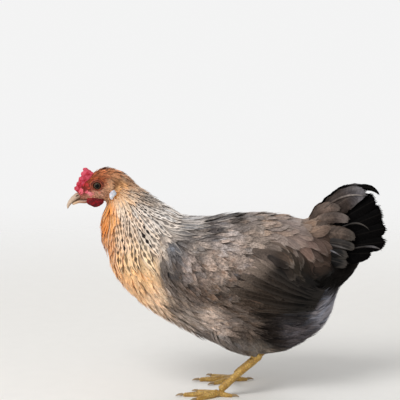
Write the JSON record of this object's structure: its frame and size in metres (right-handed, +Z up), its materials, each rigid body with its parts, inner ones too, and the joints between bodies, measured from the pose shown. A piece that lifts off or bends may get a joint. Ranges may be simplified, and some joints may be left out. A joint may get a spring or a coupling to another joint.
{
  "type": "crested hen",
  "caption": "Life-size still model of a crested light-breed hen, standing on both feet with a bowed head, folded wings and a raised tail.",
  "frame": {"origin": "on the ground, below the middle of the bird's length and width", "axes": "+X from beak to tail, +Y towards her right side, +Z up"},
  "size_m": [0.4357, 0.167, 0.3104],
  "materials": {
    "body_feathers": "soft grey-brown contour feathers",
    "hackle_feathers": "cream and salmon hackle with dark shafts",
    "face_skin": "short chestnut feathers over red skin",
    "crest_feathers": "narrow chestnut and cream crest feathers",
    "horn": "horn-coloured beak, satin",
    "comb_skin": "fine-grained red comb skin",
    "covert_feathers": "taupe coverts with a soft gloss",
    "tail_feathers": "near-black tail feathers with a soft gloss",
    "eye": "wet brown eye",
    "lobe_skin": "white ear lobe skin",
    "wattle_skin": "deep red wattle skin",
    "wing_feathers": "stippled grey-brown wing feathers",
    "fluff_feathers": "loose grey fluff",
    "leg_scales": "yellow scaled leg skin",
    "claw_horn": "horn-coloured claws"
  },
  "bodies": {
    "root": {"trunk": "body_feathers", "neck": "hackle_feathers", "head": "face_skin", "crest": "crest_feathers", "beak_upper": "horn", "beak_lower": "horn", "comb": "comb_skin", "tail_base": "covert_feathers", "undertail": "tail_feathers", "eye_left": "eye", "ear_lobe_left": "lobe_skin", "wattle_left": "wattle_skin", "wing_left": "wing_feathers", "tail_feathers_left": "tail_feathers", "tail_coverts_left": "covert_feathers", "thigh_left": "fluff_feathers", "shank_left": "leg_scales", "toe_left_1": "leg_scales", "claw_left_1": "claw_horn", "toe_left_2": "leg_scales", "claw_left_2": "claw_horn", "toe_left_3": "leg_scales", "claw_left_3": "claw_horn", "toe_left_4": "leg_scales", "claw_left_4": "claw_horn", "eye_right": "eye", "ear_lobe_right": "lobe_skin", "wattle_right": "wattle_skin", "wing_right": "wing_feathers", "tail_feathers_right": "tail_feathers", "tail_coverts_right": "covert_feathers", "thigh_right": "fluff_feathers", "shank_right": "leg_scales", "toe_right_1": "leg_scales", "claw_right_1": "claw_horn", "toe_right_2": "leg_scales", "claw_right_2": "claw_horn", "toe_right_3": "leg_scales", "claw_right_3": "claw_horn", "toe_right_4": "leg_scales", "claw_right_4": "claw_horn"}
  },
  "joints": []
}
